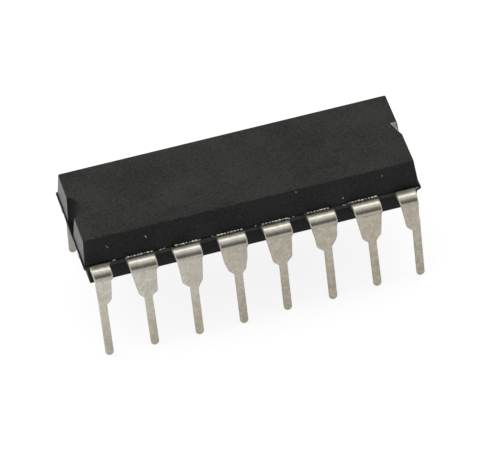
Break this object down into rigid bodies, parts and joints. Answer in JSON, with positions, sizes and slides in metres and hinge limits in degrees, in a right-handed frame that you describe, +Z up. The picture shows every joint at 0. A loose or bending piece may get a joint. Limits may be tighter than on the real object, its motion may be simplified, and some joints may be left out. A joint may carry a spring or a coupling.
{
  "type": "dip integrated circuit chip",
  "caption": "Through-hole chip package: a drafted black plastic body with an index notch at one end, and a row of bent, tapered tin-plated leads down each long side.",
  "frame": {"origin": "middle of the part, in the plane that the lead tips stand on", "axes": "+X along the body, away from the index notch; +Y across, towards the rear row (leads 9 to 16); +Z up, out of the top face"},
  "size_m": [0.019, 0.0088, 0.0075],
  "materials": {
    "moulding_compound": "dark grey epoxy moulding compound, fine matt texture on the top and smoother, darker draft faces",
    "tinned_lead": "matt tin plating, bright and smooth over the bend, greyer towards the tips",
    "pad_plate": "plain stamped sheet, sealed inside the body apart from the cut ends of its tie bars",
    "die_bond": "filled bonding paste, sealed inside the body",
    "silicon": "polished dark silicon, sealed inside the body",
    "gold_wire": "thin gold wire, sealed inside the body"
  },
  "bodies": {
    "root": {"body": "moulding_compound", "lead_1": "tinned_lead", "lead_2": "tinned_lead", "lead_3": "tinned_lead", "lead_4": "tinned_lead", "lead_5": "tinned_lead", "lead_6": "tinned_lead", "lead_7": "tinned_lead", "lead_8": "tinned_lead", "lead_9": "tinned_lead", "lead_10": "tinned_lead", "lead_11": "tinned_lead", "lead_12": "tinned_lead", "lead_13": "tinned_lead", "lead_14": "tinned_lead", "lead_15": "tinned_lead", "lead_16": "tinned_lead", "die_pad": "pad_plate", "die_attach": "die_bond", "die": "silicon", "bond_wire_1": "gold_wire", "bond_wire_2": "gold_wire", "bond_wire_3": "gold_wire", "bond_wire_4": "gold_wire", "bond_wire_5": "gold_wire", "bond_wire_6": "gold_wire", "bond_wire_7": "gold_wire", "bond_wire_8": "gold_wire", "bond_wire_9": "gold_wire", "bond_wire_10": "gold_wire", "bond_wire_11": "gold_wire", "bond_wire_12": "gold_wire", "bond_wire_13": "gold_wire", "bond_wire_14": "gold_wire", "bond_wire_15": "gold_wire", "bond_wire_16": "gold_wire"}
  },
  "joints": []
}
